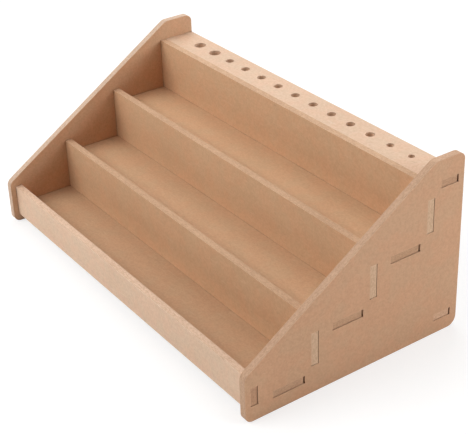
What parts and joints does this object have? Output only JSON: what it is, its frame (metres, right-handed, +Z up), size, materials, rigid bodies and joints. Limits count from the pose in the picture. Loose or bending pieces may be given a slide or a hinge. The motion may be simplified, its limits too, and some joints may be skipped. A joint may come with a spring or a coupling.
{
  "type": "paint and tool rack",
  "caption": "Tiered desktop rack of tab-and-slot fibreboard panels, with stepped shelves for bottles between sloping sides and a holed rail for brushes along the back.",
  "frame": {"origin": "on the table, under the middle of the rack: centre of the bounding box's bottom face", "axes": "+X along the rack to the right as seen from the front, +Y from the front to the back, +Z up"},
  "size_m": [0.364, 0.2, 0.15],
  "materials": {
    "fibreboard": "matte, unfinished"
  },
  "bodies": {
    "root": {"left_side": "fibreboard", "right_side": "fibreboard", "front_panel": "fibreboard", "lower_shelf": "fibreboard", "middle_shelf": "fibreboard", "upper_shelf": "fibreboard", "lower_riser": "fibreboard", "middle_riser": "fibreboard", "upper_riser": "fibreboard", "brush_rail": "fibreboard", "base_rail": "fibreboard"}
  },
  "joints": []
}
